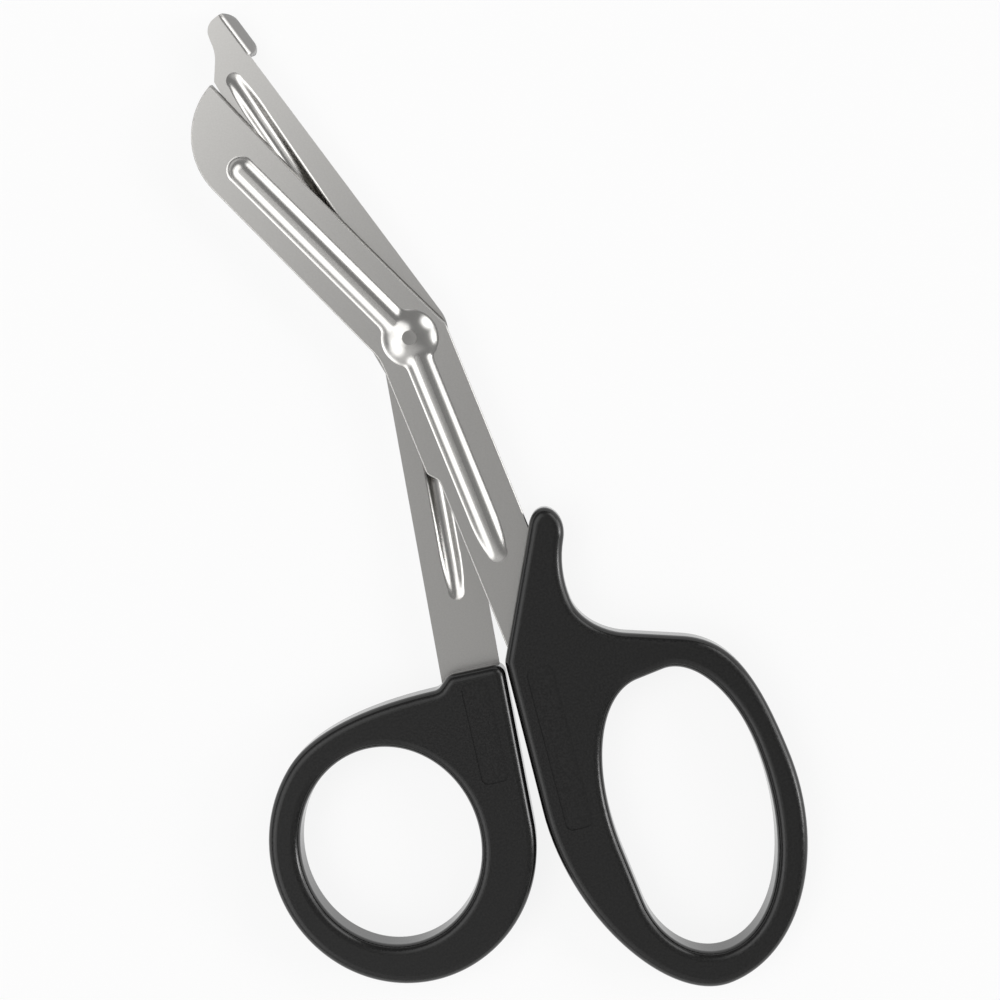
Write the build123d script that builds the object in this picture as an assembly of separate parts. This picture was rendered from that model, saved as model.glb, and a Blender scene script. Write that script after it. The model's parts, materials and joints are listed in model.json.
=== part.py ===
from build123d import *
import os
from math import asin, cos, degrees, radians, sin, tan

# All sizes are in mm. Each half is drawn with the pivot at 0, 0, its tang down -Y and the face that
# meets the other blade at z = 0. The upper sheet lies above that face, the lower one below it.

# Sheet and pressed forms
SHEET = 1.4
BEAD_RADIUS = 3.0
BEAD_HEIGHT = 1.05
BEAD_RAMP = 7.0
RAMP_DROP = 0.65
RAMP_END = 3.6
DOME_RADIUS = 8.0
DOME_HEIGHT = 1.6
DOME_BLEND = 2.5
ROOT_FILLET = 0.5
MOUTH_FILLET = 0.6
EDGE_BEVEL = 0.5
EDGE_LAND = 0.15
EDGE_ROUND = 0.2

# Upper blade: its angle to the tang, widths each side of the pivot line, length from the pivot
UPPER_ANGLE = 22.4
UPPER_BEAD_ANGLE = 23.0
UPPER_EDGE = 6.35
UPPER_SPINE = 6.2
UPPER_LENGTH = 54.6
UPPER_BELLY = 13.0
UPPER_BULGE = 0.4
UPPER_BEAD_STOP = 14.0
UPPER_TANG_BEAD = 39.5
BACK_ROUND = 8.0

# Lower blade with its folded foot: the toe, neck and bead are set back from the tip
SPINE_ANGLE = 26.6
LOWER_SPINE = 7.0
LOWER_EDGE = 6.79
LOWER_END = 7.6
LOWER_LENGTH = 63.8
TOE_LENGTH = 4.9
TOE_WIDTH = 3.2
TOE_CORNER = 2.6
NECK_LENGTH = 3.7
NECK_WIDTH = 4.5
NECK_ROUND = 6.0
FOOT_LENGTH = 8.5
FOOT_REACH = 1.95
FOOT_ANGLE = 62.0
FOOT_INSET = 0.35
FOOT_BEND = 1.05
FOOT_CREASE = 0.3
FOOT_ROUND = 1.9
LOWER_BEAD_STOP = 10.5
LOWER_BEAD_INSET = 4.7
LOWER_TANG_BEAD = 44.2

# Tangs: outer edge away from the other tang, inner edge next to it, and the tongue inside the handle
UPPER_OUTER = 6.6
UPPER_INNER = 6.15
UPPER_OUTER_END = -44.0
UPPER_INNER_END = -57.0
UPPER_TANG_END = -72.0
LOWER_OUTER = 5.3
LOWER_INNER = 6.6
LOWER_OUTER_END = -60.5
LOWER_INNER_END = -58.5
LOWER_TANG_END = -75.0
NOTCH = 1.5
NOTCH_Y = -23.5
TONGUE = 3.5
ANCHOR_HOLE = 3.4
ANCHOR_INSET = 10.75

# Rivet
RIVET_SHANK = 1.0
RIVET_HEAD = 1.25
RIVET_SINK = 0.5
RIVET_DEPTH = 0.05
RIVET_PLAY = 0.05

# Both handles
HANDLE = 8.0
HANDLE_FILLET = 1.6
HANDLE_CORNER = 2.0
PANEL_DEPTH = 0.25
PANEL_WIDTH = 4.7
PANEL_CORNER = 1.2
TANG_GAP = 12.0

# Finger handle: the hole and the wall round it, then the horn that runs up the tang
FINGER_LEFT = 0.6
FINGER_RIGHT = 28.5
FINGER_LOW = -117.4
FINGER_HIGH = -68.6
FINGER_TOP_START = 14.0
FINGER_TOP_END = 18.6
FINGER_SIDE_START = -94.8
FINGER_SIDE_END = -104.4
FINGER_LOW_X = 11.2
FINGER_RIGHT_Y = -86.6
LOOP_WALL = 4.8
LOOP_BASE = 5.7
LOOP_TOP = 4.05
LOOP_GRIP = 10.2
LOOP_LEAN = 5.2
LOOP_DROP = 3.4
LOOP_SHIFT = 1.9
LOOP_RISE = 10.9
CROOK_X = -5.9
CROOK_Y = -57.4
CROOK_ROUND = 2.5
HORN_X = 6.8
HORN_Y = -37.1
HORN_REACH = 5.4
HOOK_X = 11.3
HOOK_Y = -41.7
THROAT_X = 8.55
THROAT_Y = -51.5
SHOULDER_X = 15.3
SHOULDER_Y = -60.55
FINGER_PANEL = 28.6
FINGER_PANEL_X = -2.7
FINGER_PANEL_Y = -74.4
FINGER_PANEL_TILT = -7.5

# Thumb handle: the hole, the ring round it and the collar that takes the tang
THUMB_X = -18.8
THUMB_Y = -85.2
THUMB_WIDE = 31.0
THUMB_TALL = 34.5
THUMB_TILT = 6.4
RING_SIDE = 7.5
RING_BASE = 6.85
RING_SHIFT = 2.0
RING_DROP = 0.2
RING_START = 130
RING_SWEEP = 224
COLLAR_LEFT = -3.7
COLLAR_RIGHT = 5.9
COLLAR_TOP = -57.8
COLLAR_RISE = 0.4
COLLAR_STEP = 2.25
CROWN_REACH = 13.0
CROWN_FALL = 0.6
CROWN_END = 7.0
THUMB_PANEL = 17.6
THUMB_PANEL_X = 0.7
THUMB_PANEL_Y = -68.6
THUMB_PANEL_TILT = 2.6


def blade_point(angle, side, along):
    """A point so far along a line through the pivot, and so far to the right of it."""
    a = radians(angle)
    return (side * cos(a) - along * sin(a), side * sin(a) + along * cos(a))


def meet_x(angle, side, x):
    """Where a blade line meets the tang edge at x."""
    a = radians(angle)
    return blade_point(angle, side, (side * cos(a) - x) / sin(a))


def outline(*lines):
    """A face inside a closed chain of lines and curves."""
    return make_face([edge for line in lines for edge in line.edges()])


def rounded(face, *corners):
    """A face with some corners rounded, each given as a point and a radius."""
    for point, radius in corners:
        corner = face.vertices().sort_by_distance(Vector(point))[0]
        face = fillet(corner, radius)
    return face


def tang_points(inner, outer, inner_end, outer_end, end):
    """Tang corners for a tang whose inner edge is on the left, down that edge and up the other."""
    step = NOTCH * 0.6
    slim = inner - NOTCH
    return [
        (-inner, NOTCH_Y + step),
        (-slim, NOTCH_Y - step),
        (-slim, inner_end),
        (-TONGUE, inner_end - 2 * (slim - TONGUE)),
        (-TONGUE, end),
        (TONGUE, end),
        (TONGUE, outer_end - 2 * (outer - TONGUE)),
        (outer, outer_end),
    ]


def tang_rounding(points):
    """The notch's two soft corners and the tongue's round end."""
    end = TONGUE * 0.9
    return [(points[0], NOTCH), (points[1], NOTCH), (points[4], end), (points[5], end)]


def upper_face():
    tip = blade_point(UPPER_ANGLE, UPPER_EDGE, UPPER_LENGTH)
    belly = blade_point(UPPER_ANGLE, -UPPER_SPINE, UPPER_LENGTH - UPPER_BELLY)
    heel = meet_x(UPPER_ANGLE, UPPER_EDGE, UPPER_OUTER)
    corner = meet_x(UPPER_ANGLE, -UPPER_SPINE, -UPPER_INNER)
    tang = tang_points(UPPER_INNER, UPPER_OUTER, UPPER_INNER_END, UPPER_OUTER_END, UPPER_TANG_END)
    edge = SagittaArc(heel, tip, UPPER_BULGE)
    end = TangentArc(belly, tip, tangent=blade_point(UPPER_ANGLE, 0, 1))
    back = Polyline(belly, corner, *tang, heel)
    face = outline(edge, end, back)
    return rounded(face, (corner, BACK_ROUND), *tang_rounding(tang))


def lower_edge():
    """The cutting edge of the lower blade, from its neck back to the heel on the tang's outer edge."""
    start = Vector(blade_point(SPINE_ANGLE, -LOWER_EDGE, 0))
    end = Vector(blade_point(SPINE_ANGLE, LOWER_SPINE - LOWER_END, LOWER_LENGTH - TOE_LENGTH - NECK_LENGTH))
    heel = start + (start - end) * ((-LOWER_OUTER - start.X) / (start.X - end.X))
    return end, heel


def lower_bead_angle():
    """The angle that ends the bead at its inset from the spine."""
    return SPINE_ANGLE - degrees(asin((LOWER_SPINE - LOWER_BEAD_INSET) / (LOWER_LENGTH - LOWER_BEAD_STOP)))


def lower_face():
    """The lower sheet in plan, with its foot beyond the spine line."""
    neck_end = LOWER_LENGTH - TOE_LENGTH
    foot_start = LOWER_LENGTH - FOOT_LENGTH
    foot_side = LOWER_SPINE + FOOT_REACH
    spine = meet_x(SPINE_ANGLE, LOWER_SPINE, LOWER_INNER)
    foot_root = blade_point(SPINE_ANGLE, LOWER_SPINE, foot_start)
    foot_low = blade_point(SPINE_ANGLE, foot_side, foot_start)
    foot_high = blade_point(SPINE_ANGLE, foot_side, LOWER_LENGTH)
    toe = blade_point(SPINE_ANGLE, LOWER_SPINE - TOE_WIDTH, LOWER_LENGTH)
    neck = blade_point(SPINE_ANGLE, LOWER_SPINE - NECK_WIDTH, neck_end)
    edge_end, heel = lower_edge()
    mirrored = tang_points(LOWER_INNER, LOWER_OUTER, LOWER_INNER_END, LOWER_OUTER_END, LOWER_TANG_END)
    tang = [(-x, y) for x, y in mirrored]
    points = [spine, foot_root, foot_low, foot_high, toe, neck, edge_end, heel, *reversed(tang)]
    face = outline(Polyline(*points, spine))
    foot_round = min(FOOT_ROUND, 0.97 * FOOT_REACH)
    corners = [(foot_low, foot_round), (foot_high, foot_round), (toe, TOE_CORNER), (neck, NECK_ROUND)]
    return rounded(face, *corners, (spine, NECK_ROUND), *tang_rounding(tang))


def rib(radius, heading, length, ramp):
    """A round bar along the sheet that ends in a ball, or dips over a ramp to a flatter one."""
    level = SHEET + BEAD_HEIGHT - BEAD_RADIUS
    path = Line((0, 0, level), (0, length - ramp, level))
    ball = Pos(0, length, level) * Sphere(radius)
    if ramp:
        path = path + TangentArc(path @ 1, (0, length, level - RAMP_DROP), tangent=(0, 1, 0))
        flatter = RAMP_END - BEAD_RADIUS
        ball = Pos(0, length, level - RAMP_DROP - flatter) * Sphere(radius + flatter)
    bar = sweep(Plane(origin=(0, 0, level), z_dir=(0, 1, 0)) * Circle(radius), path=path)
    return Rot(0, 0, heading) * (bar + ball)


def pressed_form(inset, level, angle, bead, ramp, tang_bead):
    """The pivot dome and the beads that run into it above a level, or the hollow an inset below them."""
    dome = Pos(0, 0, SHEET + DOME_HEIGHT - DOME_RADIUS) * Sphere(DOME_RADIUS - inset)
    blade_rib = rib(BEAD_RADIUS - inset, angle, bead, ramp)
    tang_rib = rib(BEAD_RADIUS - inset, 180, tang_bead, BEAD_RAMP)
    form = split(dome + blade_rib + tang_rib, bisect_by=Plane.XY.offset(level), keep=Keep.TOP)
    creases = [e for e in form.edges().filter_by(GeomType.BSPLINE) if e.center().Z > level + SHEET / 14]
    return fillet(creases, DOME_BLEND)


def face_at(body, level):
    """The flat face of a sheet at a level."""
    flats = [f for f in body.faces().filter_by(Plane.XY) if abs(f.center().Z - level) < 1e-4]
    return ShapeList(flats).sort_by(SortBy.AREA)[-1]


def press(plate, *lengths):
    """Press the dome and the beads up out of a flat sheet."""
    body = plate + pressed_form(0, SHEET / 2, *lengths)
    roots = [e for wire in face_at(body, SHEET).inner_wires() for e in wire.edges()]
    body = fillet(roots, ROOT_FILLET) - pressed_form(SHEET, -SHEET / 4, *lengths)
    mouths = [e for wire in face_at(body, 0).inner_wires() for e in wire.edges()]
    return fillet(mouths, MOUTH_FILLET)


def sharpen(plate, middle):
    """Grind the bevel along the cutting edge of a sheet, down to a land, and round its other rims."""
    side = plate.faces().sort_by_distance((*middle, SHEET / 2))[0]
    edge = side.edges().group_by(Axis.Z)[-1]
    plate = chamfer(edge, SHEET - EDGE_LAND, EDGE_BEVEL, reference=side)
    rims = face_at(plate, SHEET).edges().sort_by_distance((*middle, SHEET))
    return fillet(rims[1:], EDGE_ROUND)


def anchor_holes(tang_end):
    """The holes in a tongue that the plastic of its handle fills."""
    top = tang_end + ANCHOR_INSET
    hole = Cylinder(ANCHOR_HOLE / 2, 3 * SHEET)
    return Pos(0, top) * hole + Pos(0, top - 2 * ANCHOR_HOLE) * hole


def rivet_form(play, reach):
    """The rivet with both heads spread into the domes, or the hole that reaches out past its heads."""
    top = SHEET + DOME_HEIGHT - RIVET_DEPTH
    shank = RIVET_SHANK + play
    head = RIVET_HEAD + play
    half = [(0, 0), (shank, 0), (shank, top - RIVET_SINK), (head, top)]
    if reach:
        half.append((head, top + reach))
    profile = Polyline(*half, (0, top + reach), close=True)
    upper_half = revolve(Plane.XZ * outline(profile), Axis.Z)
    return upper_half + mirror(upper_half, about=Plane.XY)


def upper_blade():
    middle = blade_point(UPPER_ANGLE, UPPER_EDGE + UPPER_BULGE, UPPER_LENGTH / 2)
    plate = sharpen(extrude(upper_face(), SHEET), middle)
    body = press(plate, UPPER_BEAD_ANGLE, UPPER_LENGTH - UPPER_BEAD_STOP, 0, UPPER_TANG_BEAD)
    return body - anchor_holes(UPPER_TANG_END) - rivet_form(0, SHEET)


def folded_foot(face):
    """The foot, folded away from the other blade along the spine, within the plan of the sheet."""
    drop = HANDLE / 2
    slope = tan(radians(FOOT_ANGLE))
    root = LOWER_SPINE - FOOT_INSET - SHEET
    mitre = tan(radians(FOOT_ANGLE / 2))
    corner = LOWER_SPINE - FOOT_INSET + FOOT_BEND * mitre
    crease = corner - SHEET * mitre
    outer = [(root, 0), (corner, 0), (corner + drop / slope, drop)]
    inner = [(crease + (drop - SHEET) / slope, drop), (crease, SHEET), (root, SHEET)]
    profile = outline(Polyline(*outer, *inner, outer[0]))
    profile = rounded(profile, (outer[1], FOOT_BEND), (inner[1], FOOT_CREASE))
    start = Pos(0, LOWER_LENGTH - FOOT_LENGTH)
    strip = Rot(0, 0, SPINE_ANGLE) * start * extrude(Plane.XZ * profile, -2 * FOOT_LENGTH)
    return strip & extrude(face, 2 * drop)


def foot_gap():
    """The corner of the flat sheet that the foot takes up."""
    size = 2 * FOOT_LENGTH
    corner = Pos(LOWER_SPINE - FOOT_INSET - SHEET, LOWER_LENGTH - FOOT_LENGTH)
    block = Box(size, size, size, align=(Align.MIN, Align.MIN, Align.CENTER))
    return Rot(0, 0, SPINE_ANGLE) * corner * block


def lower_blade():
    face = lower_face()
    reach = 2 * (LOWER_LENGTH - LOWER_TANG_END)
    inside = Rot(0, 0, SPINE_ANGLE) * Pos(LOWER_SPINE - reach / 2, 0) * Rectangle(reach, reach)
    plate = extrude(face & inside, SHEET)
    edge_end, heel = lower_edge()
    middle = (edge_end + heel) / 2
    plate = sharpen(plate, (middle.X, middle.Y))
    body = press(plate, lower_bead_angle(), LOWER_LENGTH - LOWER_BEAD_STOP, BEAD_RAMP, LOWER_TANG_BEAD)
    body = body - foot_gap() + folded_foot(face) - anchor_holes(LOWER_TANG_END)
    return mirror(body, about=Plane.XY) - rivet_form(RIVET_PLAY, SHEET)


def pulled(start, start_pull, end, end_pull):
    """A smooth curve between two points, pulled along a vector at each end."""
    return Bezier(start, start + start_pull, end + end_pull, end)


def finger_outline():
    """The loop with its horn along the tang, from the horn down the left side and round."""
    horn = Vector(HORN_X, HORN_Y)
    crook = Vector(CROOK_X, CROOK_Y)
    side = Vector(FINGER_LEFT - LOOP_GRIP, FINGER_SIDE_START + LOOP_RISE)
    low = Vector(FINGER_LOW_X - LOOP_SHIFT, FINGER_LOW - LOOP_BASE)
    right = Vector(FINGER_RIGHT + LOOP_WALL, FINGER_RIGHT_Y - LOOP_DROP)
    top = Vector(FINGER_TOP_END + LOOP_LEAN, FINGER_HIGH + LOOP_TOP)
    shoulder = Vector(SHOULDER_X, SHOULDER_Y)
    throat = Vector(THROAT_X, THROAT_Y)
    hook = Vector(HOOK_X, HOOK_Y)
    across = Vector(1, 0)
    up = Vector(0, 1)
    left = Polyline(horn, crook, side)
    low_left = pulled(side, 0.7 * (side - crook), low, 0.6 * (side.X - low.X) * across)
    low_right = pulled(low, 0.56 * (right.X - low.X) * across, right, 0.53 * (low.Y - right.Y) * up)
    high_right = pulled(right, 0.56 * (top.Y - right.Y) * up, top, 0.9 * (top - shoulder))
    slope = Line(top, shoulder)
    saddle = pulled(shoulder, 0.47 * (shoulder - top), throat, 0.39 * (shoulder.Y - throat.Y) * up)
    neck = TangentArc(throat, hook, tangent=up)
    tip = pulled(hook, HORN_REACH * (neck % 1), horn, HORN_REACH * (horn - crook).normalized())
    face = outline(left, low_left, low_right, high_right, slope, saddle, neck, tip)
    return rounded(face, (crook, CROOK_ROUND))


def quarter(x, y, to_x, to_y, start):
    """A quarter of an ellipse about x, y that reaches to_x on one axis and to_y on the other."""
    return EllipticalCenterArc((x, y), abs(to_x - x), abs(to_y - y), start)


def finger_hole():
    """A quarter of an ellipse at each corner, with a short straight at the top and on the left."""
    high_left = quarter(FINGER_TOP_START, FINGER_SIDE_START, FINGER_LEFT, FINGER_HIGH, 90)
    low_left = quarter(FINGER_LOW_X, FINGER_SIDE_END, FINGER_LEFT, FINGER_LOW, 180)
    low_right = quarter(FINGER_LOW_X, FINGER_RIGHT_Y, FINGER_RIGHT, FINGER_LOW, 270)
    high_right = quarter(FINGER_TOP_END, FINGER_RIGHT_Y, FINGER_RIGHT, FINGER_HIGH, 0)
    left = Line(high_left @ 1, low_left @ 0)
    top = Line(high_right @ 1, high_left @ 0)
    return outline(high_left, left, low_left, low_right, high_right, top)


def thumb_outline():
    """The ring, its crown and the collar round the tang."""
    centre = (THUMB_X + RING_SHIFT, THUMB_Y - RING_DROP)
    wide = THUMB_WIDE / 2 + RING_SIDE
    tall = THUMB_TALL / 2 + RING_BASE
    ring = EllipticalCenterArc(centre, wide, tall, RING_START, arc_size=RING_SWEEP, rotation=THUMB_TILT)
    top_right = Vector(COLLAR_RIGHT, COLLAR_TOP + COLLAR_RISE)
    top_left = Vector(COLLAR_LEFT, COLLAR_TOP)
    neck = Vector(COLLAR_LEFT - COLLAR_STEP, COLLAR_TOP - COLLAR_STEP)
    right = Line(ring @ 1, top_right)
    top = Polyline(top_right, top_left, neck)
    crown = pulled(neck, Vector(-CROWN_REACH, -CROWN_FALL), ring @ 0, -CROWN_END * (ring % 0))
    face = outline(ring, right, top, crown)
    return rounded(face, (top_right, HANDLE_CORNER), (top_left, HANDLE_CORNER), (neck, HANDLE_CORNER))


def thumb_hole():
    return Pos(THUMB_X, THUMB_Y) * Rot(0, 0, THUMB_TILT) * Ellipse(THUMB_WIDE / 2, THUMB_TALL / 2)


def moulded(face, hole, panel):
    """A handle of even thickness with rounded edges and a shallow bare panel on its front."""
    body = extrude(face - hole, HANDLE / 2, both=True)
    rims = [e for e in body.edges() if abs(abs(e.center().Z) - HANDLE / 2) < 1e-4]
    body = fillet(rims, HANDLE_FILLET)
    return body - Pos(0, 0, HANDLE / 2 - PANEL_DEPTH) * extrude(panel, HANDLE)


def finger_handle(blade):
    shape = RectangleRounded(PANEL_WIDTH, FINGER_PANEL, PANEL_CORNER)
    panel = Pos(FINGER_PANEL_X, FINGER_PANEL_Y) * Rot(0, 0, FINGER_PANEL_TILT) * shape
    return moulded(finger_outline(), finger_hole(), panel) - blade


def thumb_handle(blade):
    shape = RectangleRounded(PANEL_WIDTH, THUMB_PANEL, PANEL_CORNER)
    panel = Pos(THUMB_PANEL_X, THUMB_PANEL_Y) * Rot(0, 0, THUMB_PANEL_TILT) * shape
    return moulded(thumb_outline(), thumb_hole(), panel) - blade


def build():
    """All pieces in the closed position, on the floor, with the middle of their box at the origin."""
    upper = upper_blade()
    lower = lower_blade()
    turn = Rot(0, 0, TANG_GAP / 2)
    turn_back = Rot(0, 0, -TANG_GAP / 2)
    pieces = {
        "upper_blade": turn * upper,
        "finger_handle": turn * finger_handle(upper),
        "pivot_rivet": rivet_form(0, 0),
        "lower_blade": turn_back * lower,
        "thumb_handle": turn_back * thumb_handle(lower),
    }
    box = Compound(list(pieces.values())).bounding_box()
    shift = Pos(-box.center().X, -box.center().Y, -box.min.Z)
    return {name: shift * piece for name, piece in pieces.items()}


os.makedirs("parts", exist_ok=True)
for name, piece in build().items():
    export_step(piece, f"parts/{name}.step")
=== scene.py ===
import json
from math import cos, radians, sin

import bpy
from mathutils import Matrix, Vector

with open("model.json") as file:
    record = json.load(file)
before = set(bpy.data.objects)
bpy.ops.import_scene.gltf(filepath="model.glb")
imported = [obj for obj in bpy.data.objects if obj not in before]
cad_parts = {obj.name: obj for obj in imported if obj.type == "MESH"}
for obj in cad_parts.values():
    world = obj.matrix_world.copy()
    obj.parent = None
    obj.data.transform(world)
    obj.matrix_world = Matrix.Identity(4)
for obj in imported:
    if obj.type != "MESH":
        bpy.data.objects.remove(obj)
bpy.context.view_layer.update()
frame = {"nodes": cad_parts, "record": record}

# Camera, in metres and degrees, its lens in millimetres: nearly straight above, with the blades up and left
CAMERA_POS = Vector((0.02374, 0.00934, 0.34723))
CAMERA_AIM = Vector((0.00993, -0.00131, 0.004))
CAMERA_TURN = 16.25
CAMERA_LENS = 72.0
CAMERA_SENSOR = 36.0
CAMERA_NEAR = 0.01

# Studio light, as radiance: a grey ceiling, and a band low down between two tilts from above, in degrees
CEILING = 0.265
BAND_LIGHT = 1.0
BAND_START = 74.0
BAND_FULL = 88.0
WHITE = (1.0, 1.0, 1.0, 1.0)

# Soft boxes and a lamp: angle round the picture, tilt, full and outer radius, all in degrees, and light
FAR_LEFT_BOX = (134.0, 31.0, 10.0, 22.0, 1.4)
LEFT_BOX = (176.0, 40.0, 8.0, 24.0, 1.3)
NEAR_LEFT_BOX = (213.0, 44.0, 8.0, 24.0, 1.5)
NEAR_BOX = (265.0, 52.0, 10.0, 50.0, 0.4)
RIGHT_BOX = (10.0, 72.0, 10.0, 26.0, 2.4)
FAR_RIGHT_BOX = (47.0, 60.0, 6.0, 19.0, 2.4)
RIGHT_LAMP = (0.0, 67.0, 3.0, 9.0, 9.0)
LIGHTS = (FAR_LEFT_BOX, LEFT_BOX, NEAR_LEFT_BOX, NEAR_BOX, RIGHT_BOX, FAR_RIGHT_BOX, RIGHT_LAMP)

# Table: half its width and the gap under the part in metres, its shades, and the share of plain white seen
TABLE_HALF = 1.5
TABLE_GAP = 0.00005
TABLE_SHADES = (0.93, 0.95)
TABLE_PATCHES = 40.0
TABLE_GLOW = 0.87

# Places on the blades in metres, each with an inner and an outer distance round it
PIVOT = frame["record"]["behaviour"]["joints"][0]["pos_m"]
PIVOT_ROUND = (0.0016, 0.0026)
# Round the foot, its folded face is given painted shade in the steel's colour
FOOT = (-0.0103, 0.0882)
FOOT_ROUND = (0.005, 0.007)

# How level a face is, from 0 upright to 1 flat: the range over which each kind of face begins or ends
GROUND_FLAT = (0.985, 0.9995)
# Sheared walls and the foot's folded face, within these ranges, get a darker steel colour: painted shade, on
# the walls partly a duller sheared edge
SHEARED_AND_SHADED_WALL = (0.15, 0.72)
SHADED_FOLDED_FACE = (0.5, 0.72)
MOULDED_FACE = (0.7, 0.98)

# Steel: colours, roughness, the scale, detail, spread, strength and depth of its grain, and soft creases
STEEL_LIGHT = (0.655, 0.645, 0.625, 1.0)
STEEL_DARK = (0.625, 0.615, 0.595, 1.0)
# Darker colour for sheared walls, partly a duller edge and partly painted shade, and for the foot's folded
# face, painted shade
SHEARED_AND_SHADED_STEEL = (0.27, 0.265, 0.26, 1.0)
SATIN = (0.29, 0.31)
POLISH = 0.19
STEEL_GRAIN = 3500.0
STEEL_DETAIL = 1.0
STEEL_SPREAD = (0.25, 0.75)
STEEL_BUMP = (0.005, 0.05)
STEEL_DEPTH = 0.00002
CREASE_RADIUS = 0.0012
CREASE_SAMPLES = 8

# Rivet: colour, roughness, and the scale, detail and strength of its grain
RIVET_STEEL = (0.38, 0.372, 0.36, 1.0)
RIVET_ROUGH = (0.34, 0.42)
RIVET_PATCHES = 900.0
RIVET_GRAIN = 7000.0
RIVET_DETAIL = 3.0
RIVET_BUMP = 0.12

# Plastic: colours, roughness of faces and of walls, and the scale, strength and depth of its grain
PLASTIC_LIGHT = (0.009, 0.0088, 0.0085, 1.0)
PLASTIC_DARK = (0.003, 0.0029, 0.0028, 1.0)
PLASTIC_MATT = (0.30, 0.38)
PLASTIC_GLOSS = 0.12
PLASTIC_GRAIN = 3000.0
PLASTIC_BUMP = (0.02, 0.12)
PLASTIC_DEPTH = 0.00003

# The middle of a noise, which holds most of its values
NOISE_SPREAD = (0.3, 0.7)


def picture_direction(side, tilt):
    """A direction by its angle anticlockwise from the picture's right side and its tilt from above."""
    a = radians(side - CAMERA_TURN)
    t = radians(tilt)
    return Vector((sin(t) * cos(a), sin(t) * sin(a), cos(t)))


class Nodes:
    """A short way to add and join shader nodes."""

    # The Mix node's sockets for each kind of data: the first input, the second and the result
    MIX_SOCKETS = {"VECTOR": (4, 5, 1), "RGBA": (6, 7, 2)}

    def __init__(self, tree):
        self.tree = tree
        tree.nodes.clear()

    def add(self, kind, **settings):
        """A new node with its settings."""
        node = self.tree.nodes.new("ShaderNode" + kind)
        for key, value in settings.items():
            setattr(node, key, value)
        return node

    def put(self, socket, value):
        """Join another node's output to a socket, or set a plain value on it."""
        if hasattr(value, "is_linked"):
            self.tree.links.new(value, socket)
        else:
            socket.default_value = value

    def math(self, operation, a, b=0.0):
        """One sum on two values."""
        node = self.add("Math", operation=operation)
        self.put(node.inputs[0], a)
        self.put(node.inputs[1], b)
        return node.outputs[0]

    def ramp(self, value, low, high, to_low=0.0, to_high=1.0):
        """A value moved smoothly from one range to another."""
        node = self.add("MapRange", interpolation_type="SMOOTHSTEP")
        self.put(node.inputs["Value"], value)
        self.put(node.inputs["From Min"], low)
        self.put(node.inputs["From Max"], high)
        self.put(node.inputs["To Min"], to_low)
        self.put(node.inputs["To Max"], to_high)
        return node.outputs["Result"]

    def between(self, share, first, second):
        """A value between two others, all of the second where the share is 1."""
        span = self.math("SUBTRACT", second, first)
        return self.math("ADD", first, self.math("MULTIPLY", share, span))

    def noise(self, vector, scale, detail=2.0):
        """A cloudy noise from 0 to 1."""
        node = self.add("TexNoise")
        self.put(node.inputs["Vector"], vector)
        self.put(node.inputs["Scale"], scale)
        self.put(node.inputs["Detail"], detail)
        return node.outputs["Fac"]

    def bump(self, height, strength, distance, normal=None):
        """The normal of a surface with a fine relief."""
        node = self.add("Bump")
        self.put(node.inputs["Height"], height)
        self.put(node.inputs["Strength"], strength)
        self.put(node.inputs["Distance"], distance)
        if normal:
            self.put(node.inputs["Normal"], normal)
        return node.outputs["Normal"]

    def mix(self, kind, share, first, second):
        """Two colours or vectors mixed, all of the second where the share is 1."""
        node = self.add("Mix", data_type=kind)
        first_at, second_at, result_at = self.MIX_SOCKETS[kind]
        self.put(node.inputs[0], share)
        self.put(node.inputs[first_at], first)
        self.put(node.inputs[second_at], second)
        return node.outputs[result_at]

    def facing(self):
        """How level a face is, 1 where it is flat and 0 where it is upright, and its normal."""
        normal = self.add("NewGeometry").outputs["Normal"]
        parts = self.add("SeparateXYZ")
        self.put(parts.inputs[0], normal)
        return self.math("ABSOLUTE", parts.outputs["Z"]), normal

    def near(self, place, centre, inner, outer):
        """1 within the inner distance of an upright line through the centre, and 0 from the outer one on."""
        flattened = self.add("VectorMath", operation="MULTIPLY")
        self.put(flattened.inputs[0], place)
        self.put(flattened.inputs[1], (1.0, 1.0, 0.0))
        away = self.add("VectorMath", operation="DISTANCE")
        self.put(away.inputs[0], flattened.outputs[0])
        self.put(away.inputs[1], (centre[0], centre[1], 0.0))
        return self.ramp(away.outputs["Value"], inner, outer, 1.0, 0.0)

    def surface(self, **sockets):
        """The surface shader with its inputs, and the output it goes to."""
        shader = self.add("BsdfPrincipled")
        for name, value in sockets.items():
            self.put(shader.inputs[name.replace("_", " ")], value)
        self.put(self.add("OutputMaterial").inputs["Surface"], shader.outputs[0])


def new_material(name):
    """An empty material and the means to fill it."""
    material = bpy.data.materials.new(name)
    material.use_nodes = True
    return material, Nodes(material.node_tree)


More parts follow.
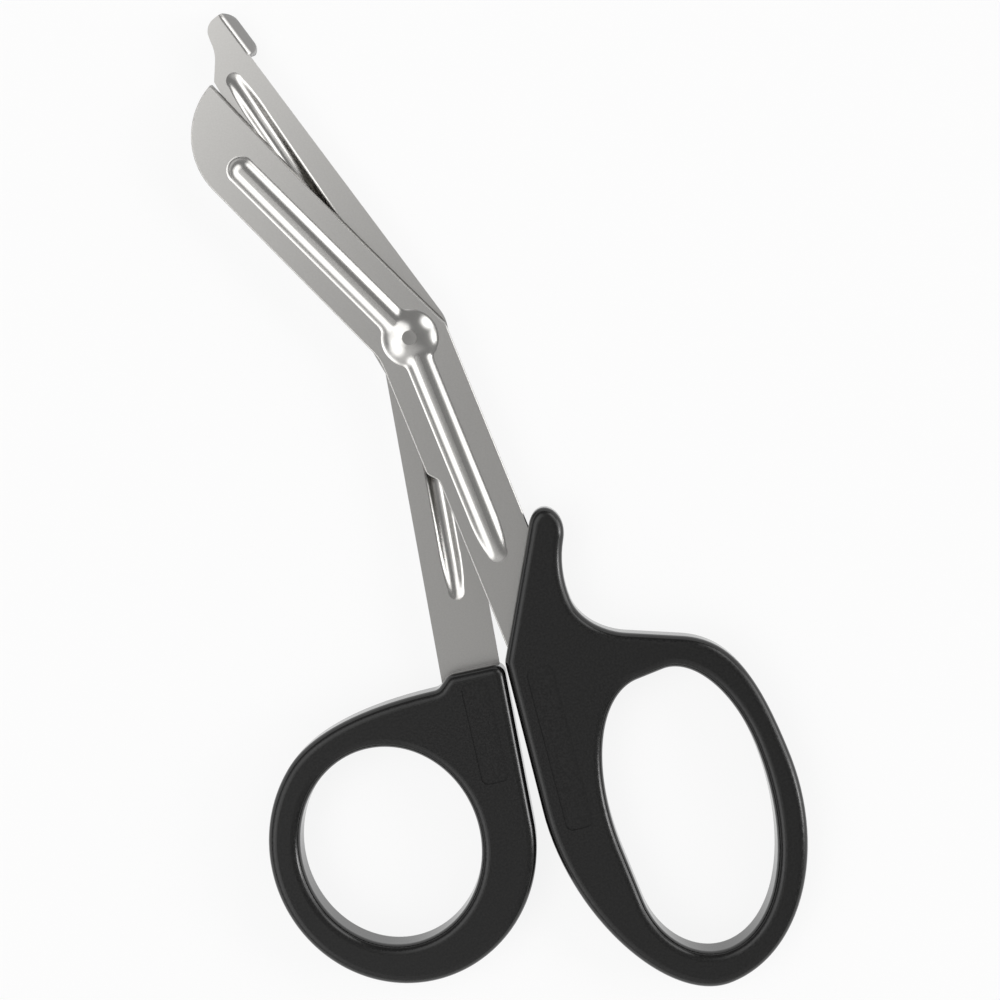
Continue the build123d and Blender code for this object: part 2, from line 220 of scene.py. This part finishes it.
def steel_material():
    """Sheet steel: satin flats, smoother where the press drew it, and a darker colour on sheared walls and
    on the foot's folded face, partly a duller sheared edge and partly painted shade.
    """
    material, n = new_material("blade_steel")
    place = n.add("TexCoord").outputs["Object"]
    level, normal = n.facing()
    flat = n.ramp(level, *GROUND_FLAT)
    grain = n.noise(place, STEEL_GRAIN, STEEL_DETAIL)
    ground = n.mix("RGBA", n.ramp(grain, *STEEL_SPREAD), STEEL_DARK, STEEL_LIGHT)
    # Steep walls and the foot's folded face get a darker colour: painted shade, on the walls partly a duller
    # sheared edge
    colour = n.mix("RGBA", sheared_dullness_and_painted_shade(n, place, level), ground, SHEARED_AND_SHADED_STEEL)
    rough = n.between(flat, POLISH, n.ramp(grain, *STEEL_SPREAD, *SATIN))
    strength = n.ramp(flat, 0.0, 1.0, *STEEL_BUMP)
    bump = n.bump(grain, strength, STEEL_DEPTH, soft_creases(n, place, flat, normal))
    n.surface(Base_Color=colour, Metallic=1.0, Roughness=rough, Normal=bump)
    return material


def sheared_dullness_and_painted_shade(n, place, level):
    """How much darker the steel's colour is: on sheared walls, partly a duller sheared edge and partly
    painted shade, and on the folded face of the foot, painted shade standing in for a dark reflection.
    """
    foot_shade_steepness = n.ramp(level, *SHADED_FOLDED_FACE, 1.0, 0.0)
    painted_foot_shade = n.math("MULTIPLY", n.near(place, FOOT, *FOOT_ROUND), foot_shade_steepness)
    return n.math("MAXIMUM", painted_foot_shade, n.ramp(level, *SHEARED_AND_SHADED_WALL, 1.0, 0.0))


def soft_creases(n, place, flat, normal):
    """The normal of the drawn metal with its creases softened, left alone on the flats and at the rivet."""
    crease = n.add("Bevel", samples=CREASE_SAMPLES)
    n.put(crease.inputs["Radius"], CREASE_RADIUS)
    plain = n.math("MAXIMUM", flat, n.near(place, PIVOT, *PIVOT_ROUND))
    return n.mix("VECTOR", plain, crease.outputs[0], normal)


def rivet_material():
    """The rivet's end, ground flat and a little duller than the sheet."""
    material, n = new_material("rivet_steel")
    place = n.add("TexCoord").outputs["Object"]
    grain = n.noise(place, RIVET_GRAIN, RIVET_DETAIL)
    rough = n.ramp(n.noise(place, RIVET_PATCHES), *NOISE_SPREAD, *RIVET_ROUGH)
    bump = n.bump(grain, RIVET_BUMP, STEEL_DEPTH)
    n.surface(Base_Color=RIVET_STEEL, Metallic=1.0, Roughness=rough, Normal=bump)
    return material


def plastic_material():
    """Black moulded plastic: a fine matt grain on the faces, and glossier walls and rounds."""
    material, n = new_material("handle_plastic")
    place = n.add("TexCoord").outputs["Object"]
    level, _ = n.facing()
    face = n.ramp(level, *MOULDED_FACE)
    grain = n.noise(place, PLASTIC_GRAIN)
    colour = n.mix("RGBA", n.ramp(grain, *NOISE_SPREAD), PLASTIC_DARK, PLASTIC_LIGHT)
    rough = n.between(face, PLASTIC_GLOSS, n.ramp(grain, *NOISE_SPREAD, *PLASTIC_MATT))
    bump = n.bump(grain, n.ramp(face, 0.0, 1.0, *PLASTIC_BUMP), PLASTIC_DEPTH)
    n.surface(Base_Color=colour, Roughness=rough, Normal=bump)
    return material


def table_material():
    """A matt white table that the camera and the steel see as white, with a faint shadow."""
    material, n = new_material("table")
    place = n.add("TexCoord").outputs["Object"]
    shade = n.ramp(n.noise(place, TABLE_PATCHES), 0.0, 1.0, *TABLE_SHADES)
    matt = n.add("BsdfDiffuse")
    n.put(matt.inputs["Color"], shade)
    glow = n.add("Emission")
    ray = n.add("LightPath")
    direct = n.math("MAXIMUM", ray.outputs["Is Camera Ray"], ray.outputs["Is Glossy Ray"])
    seen = n.math("MAXIMUM", direct, ray.outputs["Is Transmission Ray"])
    mix = n.add("MixShader")
    n.put(mix.inputs[0], n.math("MULTIPLY", seen, TABLE_GLOW))
    n.put(mix.inputs[1], matt.outputs[0])
    n.put(mix.inputs[2], glow.outputs[0])
    n.put(n.add("OutputMaterial").inputs["Surface"], mix.outputs[0])
    return material


def dress(material, *names):
    """Give the named pieces one material."""
    for name in names:
        mesh = frame["nodes"][name].data
        mesh.materials.clear()
        mesh.materials.append(material)


def add_table():
    """A wide square table just under the part."""
    half = TABLE_HALF
    sides = ((-half, -half), (half, -half), (half, half), (-half, half))
    corners = [(x, y, -TABLE_GAP) for x, y in sides]
    mesh = bpy.data.meshes.new("table")
    mesh.from_pydata(corners, [], [(0, 1, 2, 3)])
    floor = bpy.data.objects.new("table", mesh)
    bpy.context.collection.objects.link(floor)
    mesh.materials.append(table_material())


def add_camera():
    """The camera that sees the part as the photograph does."""
    back = (CAMERA_POS - CAMERA_AIM).normalized()
    turn = radians(CAMERA_TURN)
    right = Vector((sin(turn), cos(turn), 0)).cross(back).normalized()
    up = back.cross(right)
    camera = bpy.data.objects.new("camera", bpy.data.cameras.new("camera"))
    camera.data.sensor_width = CAMERA_SENSOR
    camera.data.lens = CAMERA_LENS
    camera.data.clip_start = CAMERA_NEAR
    axes = Matrix((right, up, back)).transposed()
    camera.matrix_world = Matrix.Translation(CAMERA_POS) @ axes.to_4x4()
    bpy.context.collection.objects.link(camera)
    bpy.context.scene.camera = camera


def soft_box(n, way, side, tilt, inner, outer, light):
    """The light of a round soft box, from its outer radius in to its full one."""
    toward = n.add("VectorMath", operation="DOT_PRODUCT")
    n.put(toward.inputs[0], way)
    n.put(toward.inputs[1], picture_direction(side, tilt))
    return n.ramp(toward.outputs["Value"], cos(radians(outer)), cos(radians(inner)), 0.0, light)


def add_world():
    """The studio round the table, which the camera itself sees as white."""
    world = bpy.data.worlds.new("studio")
    world.use_nodes = True
    bpy.context.scene.world = world
    n = Nodes(world.node_tree)
    unit = n.add("VectorMath", operation="NORMALIZE")
    n.put(unit.inputs[0], n.add("TexCoord").outputs["Generated"])
    way = unit.outputs[0]
    parts = n.add("SeparateXYZ")
    n.put(parts.inputs[0], way)
    full = cos(radians(BAND_FULL))
    start = cos(radians(BAND_START))
    light = n.ramp(parts.outputs["Z"], full, start, CEILING + BAND_LIGHT, CEILING)
    for box in LIGHTS:
        light = n.math("ADD", light, soft_box(n, way, *box))
    studio = n.add("Background")
    n.put(studio.inputs["Strength"], light)
    white = n.add("Background")
    for shader in (studio, white):
        n.put(shader.inputs["Color"], WHITE)
    mix = n.add("MixShader")
    n.put(mix.inputs[0], n.add("LightPath").outputs["Is Camera Ray"])
    n.put(mix.inputs[1], studio.outputs[0])
    n.put(mix.inputs[2], white.outputs[0])
    n.put(n.add("OutputWorld").inputs["Surface"], mix.outputs[0])


dress(steel_material(), "upper_blade", "lower_blade")
dress(rivet_material(), "pivot_rivet")
dress(plastic_material(), "finger_handle", "thumb_handle")
add_table()
add_camera()
add_world()
bpy.context.scene.view_settings.view_transform = "Standard"
